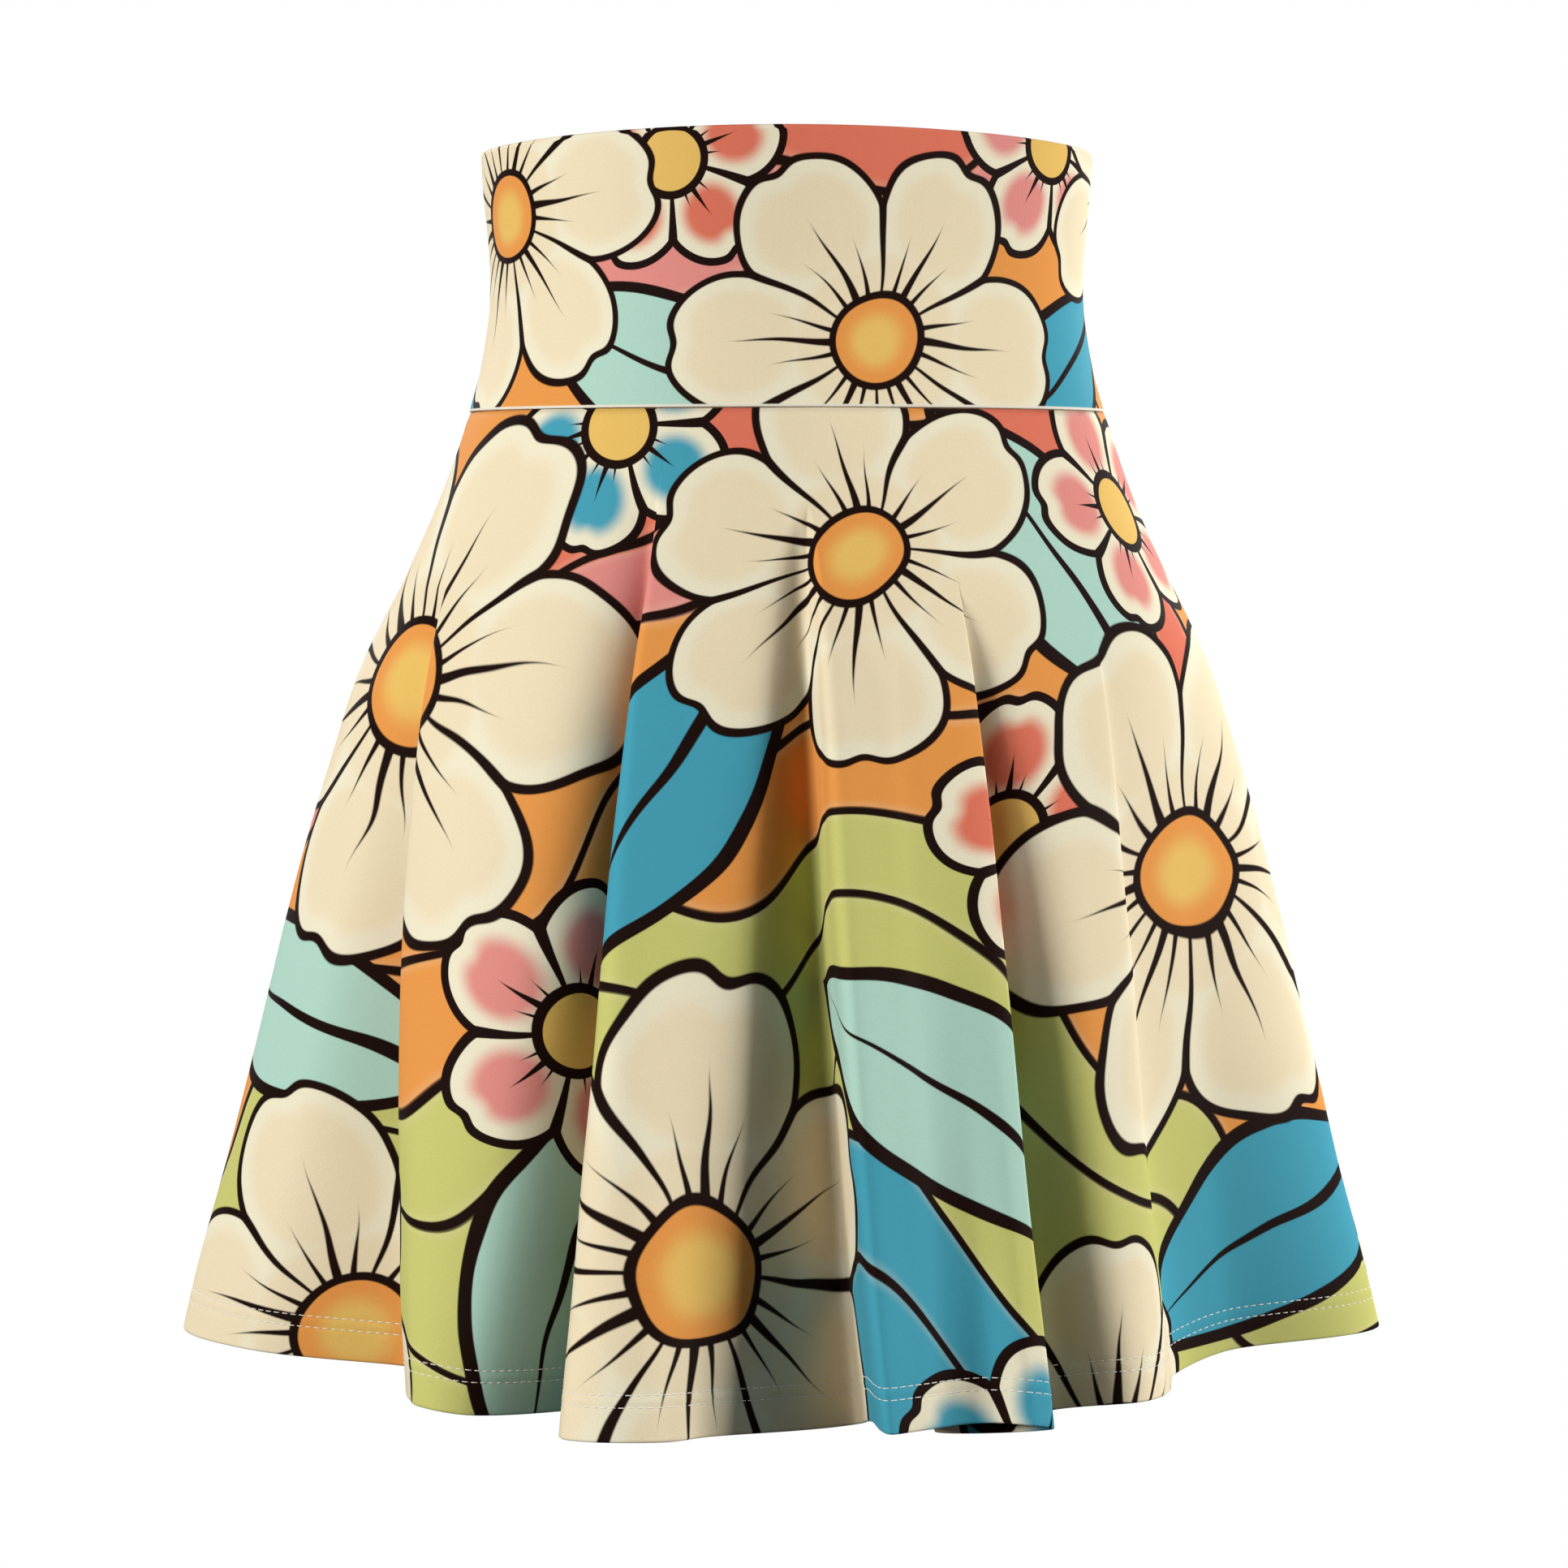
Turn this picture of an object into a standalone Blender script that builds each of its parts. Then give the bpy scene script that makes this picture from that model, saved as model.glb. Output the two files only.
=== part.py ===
"""A short circle skirt on a wide waistband, standing open in the form that it takes when it is worn.

Metres, +Z up, the front towards -Y. The origin is the middle of the waistband's narrowest ring.
Four pieces of cloth are sewn together, each a closed wall of its own: the front and the back of the
waistband, and the front and the back of the skirt. Sizes below are in millimetres and degrees.
"""

import math

import bpy
import numpy as np

MM = 0.001

SEAM_GAP = 0.3  # between two sewn pieces
BAND_WALL = 2.4  # the waistband is two layers of cloth
SKIRT_WALL = 1.2
HEM_WALL = 2.0  # the skirt's cloth and its turned-up allowance
HEM_ALLOWANCE = 18.0
SKIRT_LENGTH = 380.0  # down the cloth, from the waist seam to the hem

WAIST_SEAM_Z = -52.0
BAND_TOP_Z = 48.0
BAND_TOP_ARCH = 4.0  # the top edge stands this much higher at the middle of the front and back
BAND_COLUMNS = 44  # in each half of the waistband
BAND_ROWS = 7
SKIRT_ROWS = 12  # above the hem allowance
ROW_CROWDING = 1.15  # rows lie closer towards the waist seam
HEM_STEP = 1.5  # over which the wall thickens at the top of the hem allowance
COLUMNS_PER_SPAN = 4  # between two named points of a fold

# The waistband's rings: height, and half sizes of the ellipse outside the cloth.
BAND_SECTIONS = (
    # z, half_width, half_depth
    (48.0, 119.2, 94.5),
    (31.0, 118.2, 93.4),
    (15.0, 116.6, 92.2),
    (0.0, 115.8, 91.5),
    (-13.0, 116.2, 92.2),
    (-25.5, 117.9, 94.0),
    (-38.0, 120.3, 96.5),
    (-52.0, 124.2, 100.2),
)

# The skirt's rings: distance down the cloth, and half sizes of the ellipse that the fold crests reach.
SKIRT_SECTIONS = (
    # down, half_width, half_depth
    (0.0, 124.0, 100.0),
    (30.0, 133.8, 108.5),
    (66.0, 148.2, 121.0),
    (101.0, 163.7, 134.0),
    (155.0, 181.4, 148.5),
    (209.0, 195.8, 161.0),
    (262.0, 208.4, 172.0),
    (316.0, 221.6, 182.5),
    (352.0, 231.0, 190.0),
    (380.0, 237.6, 195.0),
)

# One row for each fold, in order round the hem from the left side seam through the front.
# An angle is 0 at the middle of the front, 90 at the right side seam and 180 at the middle of the back.
# "in" is how far the hem lies inside the ellipse there. Each fold has a left edge, a crest and a right
# edge, and then the valley before the next fold: where its angle is past an edge, the cloth laps under.
# The valley runs up to its hip angle, begins "start" below the waist seam and hangs lower by its sag.
# The crest runs up to the angle "top".
FOLDS = (
    # name, left, in, crest, in, right, in, valley, in, hip, start, sag, top
    ("left side", -107, 32, -90, -2, -76, 22, -61, 78, -60, 70, 5.8, -90),
    ("left front", -41, 28, -37.5, 18, -32.3, 23, -22, 90, -21.5, 28, 8.2, -47),
    ("centre left", -20, 3, -10.8, -1, -6.6, 21, 8.4, 74, 2.2, 38, 9.2, -17),
    ("centre crease", 8.7, 45, 9.2, 13, 12.5, 17, 17, 23, 14.5, 100, 0, 6.2),
    ("centre right", 20, 22, 22.9, 12.5, 25.4, 15, 17.5, 63, 25.4, 69, 11, 22.9),
    ("right front", 29.5, 43, 37, 27, 41.5, 32, 57, 64, 48, 90, 4.5, 37),
    ("right side", 70, 57, 90, 2, 106, 30, 119, 46, 117, 60, 3, 90),
    ("back right", 125, 28, 130, 8, 139, 16, 142, 48, 144, 45, 3, 130),
    ("back inner right", 144, 14, 153, 0, 162, 8, 161, 46, 164, 40, 4, 153),
    ("back middle", 171, 30, 179, 2, 188, 12, 195, 42, 193, 55, 3, 179),
    ("back inner left", 199, 14, 207, -2, 216, 10, 214, 46, 218, 35, 4, 207),
    ("back left", 225, 26, 231, 9, 237, 26, 244, 46, 242, 60, 2.5, 231),
)
FOLD_SOFTNESS = 0.06  # how gently a fold begins
FOLD_GROWTH = 0.78  # below 1, a fold deepens sooner than evenly
LAP_SOFTNESS = 1.6  # above 1, the laps form lower down than the folds do
HIP = 2  # the place of the hip angle in a fold point
EDGE_AT_HIP = 0.35  # an edge's place above the fold, from valley to crest
EDGE_SAG = 0.22  # how much of a valley's sag the edges beside it share
FRONT_DROP = 5.0  # the hem hangs this much lower at the middle of the front and back than at the sides

CLOTH_COLOURS = {
    "waistband": (0.87, 0.33, 0.16, 1.0),
    "skirt": (0.86, 0.75, 0.55, 1.0),
}
CLOTH_ROUGHNESS = 0.75


def curve_through(at, values, where, rising=()):
    """A smooth curve through values, given at the rising places at and read at where.

    The columns of values that are listed in rising don't turn back between two points.
    """
    slopes = np.gradient(values, at, axis=0)
    for column in rising:
        steps = np.diff(values[:, column]) / np.diff(at)
        steepest = 3 * np.minimum(steps[1:], steps[:-1])
        slopes[1:-1, column] = np.minimum(slopes[1:-1, column], steepest)
    index = np.clip(np.searchsorted(at, where, side="right") - 1, 0, len(at) - 2)
    span = (at[index + 1] - at[index])[:, None]
    part = (where - at[index])[:, None] / span
    start = values[index] * (1 + 2 * part) * (1 - part) ** 2
    end = values[index + 1] * (3 - 2 * part) * part**2
    bend = slopes[index] * part * (1 - part) ** 2 - slopes[index + 1] * (1 - part) * part**2
    return start + end + span * bend


def on_ellipse(degrees, half_width, half_depth, inside=0.0):
    """Plan points at these angles, moved inside the ellipse along its normal."""
    angle = np.radians(degrees)
    outward = np.stack([np.sin(angle) / half_width, -np.cos(angle) / half_depth], axis=-1)
    outward /= np.linalg.norm(outward, axis=-1, keepdims=True)
    edge = np.stack([half_width * np.sin(angle), -half_depth * np.cos(angle)], axis=-1)
    return edge - np.asarray(inside)[..., None] * outward


def fold_points():
    """The folds' named points in order round the hem: hem angle, in, hip angle, start and sag of each."""
    points = []
    for row, fold in enumerate(FOLDS):
        _, left, left_in, crest, crest_in, right, right_in, valley, valley_in, hip, start, sag, top = fold
        start_before, sag_before = FOLDS[row - 1][10:12]
        hip_before = FOLDS[row - 1][9] - (360 if row == 0 else 0)
        left_hip = hip_before + EDGE_AT_HIP * (top - hip_before)
        right_hip = hip + EDGE_AT_HIP * (top - hip)
        points.append((left, left_in, left_hip, start_before, EDGE_SAG * sag_before))
        points.append((crest, crest_in, top, (start_before + start) / 2, 0))
        points.append((right, right_in, right_hip, start, EDGE_SAG * sag))
        points.append((valley, valley_in, hip, start, sag))
    return np.array(points, float)


def hem_columns():
    """Hem angle, in, hip angle, start and sag of each column, and the column of the right side seam."""
    points = fold_points()
    whole_turn = (360, 0, 360, 0, 0)
    points = np.concatenate([points[-3:] - whole_turn, points, points[:4] + whole_turn])
    half_width, half_depth = SKIRT_SECTIONS[-1][1:]
    plan = on_ellipse(points[:, 0], half_width, half_depth, points[:, 1])
    chords = np.linalg.norm(np.diff(plan, axis=0), axis=1)
    at = np.concatenate([[0], np.cumsum(np.sqrt(chords))])
    left_seam = 3 + 1  # after the three points put before, on the first fold's crest
    spans = [
        np.linspace(at[point], at[point + 1], COLUMNS_PER_SPAN, endpoint=False)
        for point in range(left_seam, left_seam + 4 * len(FOLDS))
    ]
    right_seam = 4 * COLUMNS_PER_SPAN * [fold[3] for fold in FOLDS].index(90)
    return curve_through(at, points, np.concatenate(spans), rising=[HIP]), right_seam


def skirt_rings():
    """Outer points of the skirt, a ring for each row, how far down the cloth each is, and the right seam."""
    columns, right_seam = hem_columns()
    hem_angle, hem_in, hip_angle, start, sag = columns.T
    upper = SKIRT_LENGTH - HEM_ALLOWANCE
    downs = [upper * (row / SKIRT_ROWS) ** ROW_CROWDING for row in range(SKIRT_ROWS + 1)]
    downs = np.array([*downs, upper + HEM_STEP, SKIRT_LENGTH])
    sections = np.array(SKIRT_SECTIONS)
    sizes = curve_through(sections[:, 0], sections[:, 1:], downs)
    drops = np.sqrt(np.diff(downs) ** 2 - np.diff(sizes[:, 0]) ** 2)
    levels = WAIST_SEAM_Z - SEAM_GAP - np.concatenate([[0], np.cumsum(drops)])
    rings = []
    for down, (half_width, half_depth), level in zip(downs, sizes, levels):
        share = np.clip((down - start) / (SKIRT_LENGTH - start), 0, 1)
        depth = (share**2 / (share + FOLD_SOFTNESS) * (1 + FOLD_SOFTNESS)) ** FOLD_GROWTH
        angle = hip_angle + (hem_angle - hip_angle) * share**LAP_SOFTNESS
        plan = on_ellipse(angle, half_width, half_depth, hem_in * depth)
        lower = FRONT_DROP * np.cos(np.radians(angle)) ** 2 * down / SKIRT_LENGTH + sag * depth
        rings.append(np.column_stack([plan, level - lower]))
    return np.array(rings), downs, right_seam


def band_rings():
    """Outer points of the waistband, a ring for each row from its top edge down."""
    sections = np.array(BAND_SECTIONS)[::-1]
    angles = np.linspace(-90, 270, 2 * BAND_COLUMNS, endpoint=False)
    arch = BAND_TOP_ARCH * np.cos(np.radians(angles)) ** 2
    rings = []
    for row in range(BAND_ROWS + 1):
        share = row / BAND_ROWS
        level = BAND_TOP_Z + (WAIST_SEAM_Z - BAND_TOP_Z) * share
        half_width, half_depth = curve_through(sections[:, 0], sections[:, 1:], np.array([level]))[0]
        plan = on_ellipse(angles, half_width, half_depth)
        rings.append(np.column_stack([plan, level + arch * (1 - share)]))
    return np.array(rings)


def normals_of(rings):
    """Outward unit normals of closed rings that run from the top down."""
    along = np.roll(rings, -1, axis=1) - np.roll(rings, 1, axis=1)
    down = np.gradient(rings, axis=0)
    normals = np.cross(down, along)
    return normals / np.linalg.norm(normals, axis=2, keepdims=True)


def half_of(rings, first, last):
    """Columns first to last of closed rings, with the two end columns half a seam gap inside."""
    columns = np.arange(first, last + 1) % rings.shape[1]
    half = rings[:, columns].copy()
    for end, inner in ((0, 1), (-1, -2)):
        towards = half[:, inner] - half[:, end]
        towards /= np.linalg.norm(towards, axis=1, keepdims=True)
        half[:, end] += towards * SEAM_GAP / 2
    return half


def make_wall(name, outer, inner, material, parts):
    """A closed wall of cloth lofted between two grids of points, rows from the top down."""
    rows, columns = outer.shape[:2]

    def corner(side, row, column):
        return side * rows * columns + row * columns + column

    faces = []
    for row in range(rows - 1):
        for column in range(columns - 1):
            loop = ((row, column), (row + 1, column), (row + 1, column + 1), (row, column + 1))
            faces.append([corner(0, *place) for place in loop])
            faces.append([corner(1, *place) for place in reversed(loop)])
    rim = [(0, column) for column in range(columns)]
    rim += [(row, columns - 1) for row in range(1, rows)]
    rim += [(rows - 1, column) for column in range(columns - 2, -1, -1)]
    rim += [(row, 0) for row in range(rows - 2, 0, -1)]
    for here, there in zip(rim, rim[1:] + rim[:1]):
        faces.append([corner(0, *here), corner(0, *there), corner(1, *there), corner(1, *here)])
    points = np.concatenate([outer.reshape(-1, 3), inner.reshape(-1, 3)]) * MM
    mesh = bpy.data.meshes.new(name)
    mesh.from_pydata(points.tolist(), [], faces)
    mesh.shade_smooth()
    mesh.set_sharp_from_angle(angle=math.radians(50))
    mesh.materials.append(material)
    piece = bpy.data.objects.new(name, mesh)
    parts.objects.link(piece)
    return piece


def cloth(name):
    material = bpy.data.materials.new(name)
    material.use_nodes = True
    shader = material.node_tree.nodes["Principled BSDF"]
    shader.inputs["Base Color"].default_value = CLOTH_COLOURS[name]
    shader.inputs["Roughness"].default_value = CLOTH_ROUGHNESS
    shader.inputs["Metallic"].default_value = 0.0
    return material


def make_waistband(parts):
    rings = band_rings()
    inner = rings - BAND_WALL * normals_of(rings)
    material = cloth("waistband")
    for name, first in (("waistband_front", 0), ("waistband_back", BAND_COLUMNS)):
        last = first + BAND_COLUMNS
        make_wall(name, half_of(rings, first, last), half_of(inner, first, last), material, parts)


def make_skirt(parts):
    rings, downs, right_seam = skirt_rings()
    thickness = np.where(downs > SKIRT_LENGTH - HEM_ALLOWANCE, HEM_WALL, SKIRT_WALL)
    inner = rings - thickness[:, None, None] * normals_of(rings)
    material = cloth("skirt")
    for name, first, last in (
        ("skirt_front", 0, right_seam),
        ("skirt_back", right_seam, rings.shape[1]),
    ):
        make_wall(name, half_of(rings, first, last), half_of(inner, first, last), material, parts)


def main():
    for old in list(bpy.data.objects):
        bpy.data.objects.remove(old)
    parts = bpy.data.collections.new("circle_skirt")
    bpy.context.scene.collection.children.link(parts)
    make_waistband(parts)
    make_skirt(parts)


main()
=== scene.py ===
"""The looks of a short printed circle skirt on a wide waistband, in the form it takes when worn.

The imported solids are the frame. Each of the four is replaced by a thin shell of knit on the same
form, worked out from the same sizes, in millimetres and degrees. The print is made of nodes: it is
drawn on the flat cloth, before the pieces were cut, from short tables of flowers, leaves and bands.
"""

import math
from typing import NamedTuple

import bpy
import numpy as np
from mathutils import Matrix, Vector


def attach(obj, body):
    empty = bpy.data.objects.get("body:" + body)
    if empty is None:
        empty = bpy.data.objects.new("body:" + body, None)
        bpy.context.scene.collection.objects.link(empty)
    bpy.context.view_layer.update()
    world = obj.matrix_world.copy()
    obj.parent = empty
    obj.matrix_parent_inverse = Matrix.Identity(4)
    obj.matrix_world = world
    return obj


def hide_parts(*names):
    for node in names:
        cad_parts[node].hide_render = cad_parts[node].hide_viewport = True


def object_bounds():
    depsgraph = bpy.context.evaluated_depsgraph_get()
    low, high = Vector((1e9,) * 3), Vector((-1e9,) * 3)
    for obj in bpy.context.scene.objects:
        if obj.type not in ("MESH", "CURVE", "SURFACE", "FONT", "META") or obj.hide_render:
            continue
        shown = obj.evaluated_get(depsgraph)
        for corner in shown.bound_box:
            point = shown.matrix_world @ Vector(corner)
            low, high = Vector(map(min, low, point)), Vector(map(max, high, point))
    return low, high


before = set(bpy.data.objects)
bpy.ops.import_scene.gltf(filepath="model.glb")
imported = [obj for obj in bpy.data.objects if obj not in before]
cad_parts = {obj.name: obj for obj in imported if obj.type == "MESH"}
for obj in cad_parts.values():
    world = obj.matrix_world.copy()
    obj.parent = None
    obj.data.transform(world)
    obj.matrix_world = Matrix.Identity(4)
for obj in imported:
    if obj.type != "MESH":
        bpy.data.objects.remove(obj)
cad_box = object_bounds()

MM = 0.001

# ---- Sizes ----

SEAM_GAP = 0.3  # between two sewn pieces
BAND_WALL = 2.4  # two layers of cloth
CLOTH = 0.8  # one layer of cloth
HEM_LAYERS = 1.7  # the skirt's cloth and its turned-up allowance
HEM_ALLOWANCE = 18.0
SKIRT_LENGTH = 380.0  # down the cloth, from the waist seam to the hem
WAIST_SEAM_Z = -52.0
BAND_TOP_Z = 48.0
BAND_TOP_ARCH = 4.0
FRONT_DROP = 5.0  # how much lower the hem hangs at the middle of the front and of the back

BAND_SECTIONS = (
    # z, half_width, half_depth
    (48.0, 119.2, 94.5),
    (31.0, 118.2, 93.4),
    (15.0, 116.6, 92.2),
    (0.0, 115.8, 91.5),
    (-13.0, 116.2, 92.2),
    (-25.5, 117.9, 94.0),
    (-38.0, 120.3, 96.5),
    (-52.0, 124.2, 100.2),
)
SKIRT_SECTIONS = (
    # down, half_width, half_depth
    (0.0, 124.0, 100.0),
    (30.0, 133.8, 108.5),
    (66.0, 148.2, 121.0),
    (101.0, 163.7, 134.0),
    (155.0, 181.4, 148.5),
    (209.0, 195.8, 161.0),
    (262.0, 208.4, 172.0),
    (316.0, 221.6, 182.5),
    (352.0, 231.0, 190.0),
    (380.0, 237.6, 195.0),
)
# One row for each fold, in order round the hem from the left side seam through the front. Angles
# are 0 at the middle of the front, 90 at the right side seam and 180 at the middle of the back.
FOLDS = (
    # name, left, in, crest, in, right, in, valley, in, hip, start, sag, top
    ("left side", -107, 32, -90, -2, -76, 22, -61, 78, -60, 70, 5.8, -90),
    ("left front", -41, 28, -37.5, 18, -32.3, 23, -22, 90, -21.5, 28, 8.2, -47),
    ("centre left", -20, 3, -10.8, -1, -6.6, 21, 8.4, 74, 2.2, 38, 9.2, -17),
    ("centre crease", 8.7, 45, 9.2, 13, 12.5, 17, 17, 23, 14.5, 100, 0, 6.2),
    ("centre right", 20, 22, 22.9, 12.5, 25.4, 15, 17.5, 63, 25.4, 69, 11, 22.9),
    ("right front", 29.5, 43, 37, 27, 41.5, 32, 57, 64, 48, 90, 4.5, 37),
    ("right side", 70, 57, 90, 2, 106, 30, 119, 46, 117, 60, 3, 90),
    ("back right", 125, 28, 130, 8, 139, 16, 142, 48, 144, 45, 3, 130),
    ("back inner right", 144, 14, 153, 0, 162, 8, 161, 46, 164, 40, 4, 153),
    ("back middle", 171, 30, 179, 2, 188, 12, 195, 42, 193, 55, 3, 179),
    ("back inner left", 199, 14, 207, -2, 216, 10, 214, 46, 218, 35, 4, 207),
    ("back left", 225, 26, 231, 9, 237, 26, 244, 46, 242, 60, 2.5, 231),
)
POINTS_PER_FOLD = 4  # left, crest, right and valley
FOLD_SOFTNESS = 0.06  # how gently a fold begins at its start
FOLD_GROWTH = 0.78  # below 1, a fold deepens faster near its start than near the hem
LAP_SOFTNESS = 1.6  # above 1, a fold moves sideways mostly near the hem
HIP = 2  # the column of the hip angle in the folds' points
EDGE_AT_HIP = 0.35  # where an edge lies at the hip, from the valley's angle to the crest's
EDGE_SAG = 0.22  # an edge's part of the valley's sag

COLUMNS_PER_SPAN = 14  # between two named points of a fold
SEAM_COLUMNS = (0.05, 0.11, 0.18, 0.27, 0.38, 0.52, 0.7)  # more columns, in parts of the first one
ROW_STEP = 3.0  # above the hem's rows
HEM_ZONE = 22.0  # above the hem, where the rows lie closer
HEM_ROW_STEP = 0.75
BACK_EVERY = 3  # the back of the cloth has every third row of its face
HEM_BACK_EVERY = 2  # on the turned-up allowance
RIM_STEPS = 5  # round a folded edge
BAND_COLUMNS = 168  # in each half
BAND_ROWS = 54
BARED_ROWS = (2.4, 1.6, 1.0)  # more rows above the waist seam, in widths of the bared edge

# The flat cut of a skirt panel: a sector of a ring.
PANEL_ANGLE = 83.0
WAIST_RADIUS = 245.0

# Sewing
STITCH_ROWS = (12.2, 16.6)  # above the hem
STITCH_LENGTH = 2.4
STITCH_PITCH = 3.4
STITCH_RADIUS = 0.19
STITCH_SIDES = 6
STITCH_POINTS = 6
STITCH_RISE = 1.3  # how far a stitch stands up at its middle, in its radii
STITCH_SINK = 0.75  # how far all of it lies in the cloth, in its radii
STITCHES_FREE = 2.0  # how much of a seam's length has no stitches
ALLOWANCE = 8.0  # inside, beside a seam
ALLOWANCE_STEPS = 4
OVERLOCK_PITCH = 2.3
OVERLOCK_REACH = 4.0  # from the allowance's raw edge
THREAD_RADIUS = 0.16
LAYER_STEP = CLOTH + 0.1  # from one layer of cloth inside to the next
UNPRINTED = 0.7  # the pale edge of the band's cloth that the stretched waist seam bares

# Relief: depths, heights and widths of what breaks the smooth form
SEAM_GROOVE = 0.55
SEAM_GROOVE_WIDTH = 1.1
WAIST_GROOVE = 0.3
WAIST_GROOVE_WIDTH = 1.6
HEM_GROOVE = 0.14  # under each row of stitches
HEM_GROOVE_WIDTH = 0.9
HEM_RIDGE = 0.08  # between the two rows
HEM_RIDGE_WIDTH = 1.3
PUCKER_LENGTHS = (1.9, 9.0, 5.3)  # along the hem, of its drift and of its swell
UNEVENNESS = 0.35
UNEVEN_LENGTHS = (17.0, 41.0, 53.0, 90.0)

# Camera: the photograph's angle and framing
PHOTO_WIDTH = 1932  # pixels
PHOTO_SCALE = 0.00032  # metres to a pixel at the skirt's middle
CAMERA_DISTANCE = 1.7
CAMERA_PITCH = 3.726
CAMERA_AIM = Vector((-0.001, 0.0, -0.1981))
SENSOR = 36.0

FLOOR_DROP = 0.12  # the floor's distance below the hem
FLOOR_REACH = 8.0  # from its middle to each side

# Light: soft boxes round the skirt, in the white studio
LIGHTS = (
    # name, azimuth, elevation, power
    ("key", -46, 15, 91.0),
    ("front", -25, 15, 6.0),
    ("right", 83, 8, 108.0),
    ("back left", -145, 25, 38.0),
    ("back right", 150, 25, 44.0),
)
LIGHT_DISTANCE = 2.6
LIGHT_SIZE = 0.8
WORLD_LIGHT = 0.09  # of the white that the camera sees

# ---- The print: colours, bands of the ground and motifs, all on the flat cloth ----

# As seen where the cloth is fully lit, in sRGB
PALETTE = {
    "cream": (244, 227, 191),
    "halo": (246, 237, 207),
    "orange": (239, 158, 78),
    "amber": (240, 196, 104),
    "coral": (231, 122, 96),
    "pink": (234, 148, 138),
    "olive": (207, 206, 120),
    "blue": (72, 164, 186),
    "mint": (182, 220, 202),
    "line": (28, 11, 6),
    "thread": (240, 236, 226),
    "cut": (242, 234, 216),
}

REFLECTANCE = 0.65  # of the cloth, as a part of those colours' own

# Wavy bands of the ground from the top down: colour and width
WAVE_TOP = 150.0  # where the first one starts
GROUND_BANDS = (
    ("orange", 104),
    ("coral", 38),
    ("pink", 34),
    ("orange", 58),
    ("orange", 46),
    ("olive", 38),
    ("olive", 62),
    ("olive", 36),
    ("blue", 44),
    ("blue", 62),
    ("mint", 60),
    ("orange", 70),
    ("coral", 60),
)
LINE_WIDTH = 3.9
LINE_SOFT = 0.8
GLOW_REACH = 4.0  # of the paler colour beside a line
GLOW = 0.15
RAMP_UNIT = 100.0  # the distance from a line that a colour ramp holds as 1
# The waves that the bands follow: height, length across, length down and start
WAVES = (
    (30, 74, math.inf, 0.7),
    (15, 31, -160, 2.0),
    (9, 19, 60, 0.0),
)

# Motifs on a skirt panel: angle from the panel's middle, distance down, radius, turn and hue
FRONT_BLOSSOMS = (
    (-31, 112, 122, 10, 0),
    (6, 60, 88, 40, 0),
    (33, 190, 118, 0, 0),
    (-3, 322, 118, 25, 0),
    (-33, 368, 104, 52, 0),
    (25, 400, 90, 28, 0),
)
FRONT_POSIES = (
    (-17, 238, 58, 0, 0.1),
    (19, 166, 56, 20, 0.9),
    (14, 402, 58, 0, 0.5),
    (-15, 8, 52, 45, 0.5),
    (32, 40, 54, 30, 0.1),
)
FRONT_LEAVES = (
    (-6, 150, 84, 62, 0.9),
    (13, 262, 84, -35, 0.1),
    (-18, 330, 84, 70, 0.1),
    (22, 60, 74, -60, 0.1),
    (37, 330, 84, 20, 0.9),
    (-38, 245, 80, -10, 0.1),
)
# Motifs on a half of the waistband: across and up from its middle, radius, turn and hue
BAND_BLOSSOMS = (
    (-124, 20, 80, 10, 0),
    (34, -30, 82, 0, 0),
    (184, 34, 74, 25, 0),
)
BAND_POSIES = (
    (-44, 40, 46, 20, 0.9),
    (112, 46, 46, 20, 0.1),
    (-184, -44, 48, 0, 0.5),
)
BAND_LEAVES = (
    (-48, -38, 64, -20, 0.1),
    (118, -40, 62, 30, 0.9),
)
BAND_FLAT_Y = -310.0  # where the band lies on the flat cloth
BACK_SHIFT = 18.0  # how far up the cloth the back panel's motifs lie from the front's

# Flowers, in their radii
PETAL = {
    # petals, circle's middle, circle's radius, disc, outline
    "blossom": (6, 0.62, 0.335, 0.2, 0.034),
    "posy": (5, 0.56, 0.40, 0.25, 0.065),
}
PETAL_SQUEEZE = 1.04  # how much narrower than a circle
JOINED = 0.75  # how far out the petals are one, as a part of their circles' middle
NOTCH_DEPTH = 0.045  # of the nick in a petal's tip
NOTCH_SHARPNESS = 14.0
NOTCH_START = 0.1  # past the circle's middle
NOTCH_SOFT = 0.2
PARTING = 0.9  # width of the line between two petals, in outlines at one radius out
MIDDLE_STROKE = (1.0, 1.4)  # its reach in circles' middles, and its width in outlines
SIDE_STROKE = (0.75, 1.5)
SIDE_LEAN = 0.25  # how far the side strokes lean from the middle one
RIM = (2.4, 2.2)  # the pale rim inside a petal: its edge and softness, in outlines
DISC_LIGHT = (0.62, 0.5)  # the paler middle of a disc: its edge and softness, in discs
# Leaves, in their radii
LEAF_BOW = 0.42  # half a leaf's width
LEAF_LINE = 0.0325  # half its outline's width
RIB_REACH = 0.9
RIB_WIDTH = 0.022
SOFT = 0.008  # over which a printed edge changes
# Hues from 0 to 1 stand for these colours, each from its number on
LEAF_HUES = (("mint", 0.0), ("olive", 0.3), ("blue", 0.7))
POSY_HUES = (("pink", 0.0), ("blue", 0.3), ("coral", 0.7))

# What makes the drawing uneven, as by hand
WOBBLE_SCALE = 17.0  # of its noise, in each metre
WOBBLE = 0.16  # of a motif's place, in its radii
GROUND_WOBBLE = 0.03  # metres, of the bands for each 1 of that

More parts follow.
